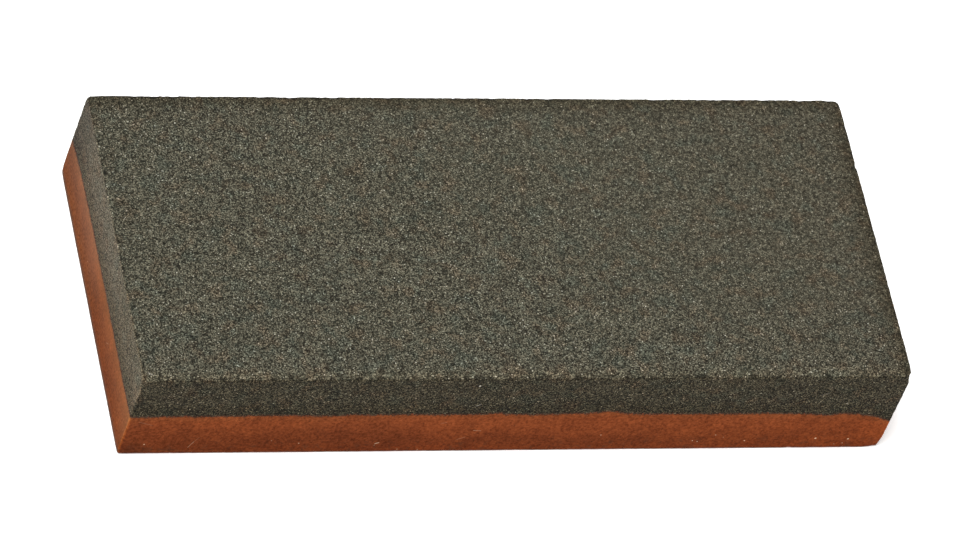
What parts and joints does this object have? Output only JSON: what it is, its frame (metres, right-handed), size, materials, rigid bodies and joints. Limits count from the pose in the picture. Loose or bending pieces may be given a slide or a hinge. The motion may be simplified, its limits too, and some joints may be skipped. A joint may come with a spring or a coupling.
{
  "type": "combination sharpening stone",
  "caption": "Rectangular bench whetstone for carving tools: a dark coarse grit layer fused on a rust orange fine grit layer, either face up.",
  "frame": {"origin": "centre of the fine working face, which is the underside in this pose", "axes": "+X along the length, +Y across the working faces away from the front side, +Z from the fine face up to the coarse face"},
  "size_m": [0.1016, 0.0444, 0.0159],
  "materials": {
    "coarse_abrasive": "matte, open coarse grain, dark grey-green with pale tan grains",
    "fine_abrasive": "matte, smooth, rust orange"
  },
  "bodies": {
    "root": {"coarse_grit_layer": "coarse_abrasive", "fine_grit_layer": "fine_abrasive"}
  },
  "joints": []
}
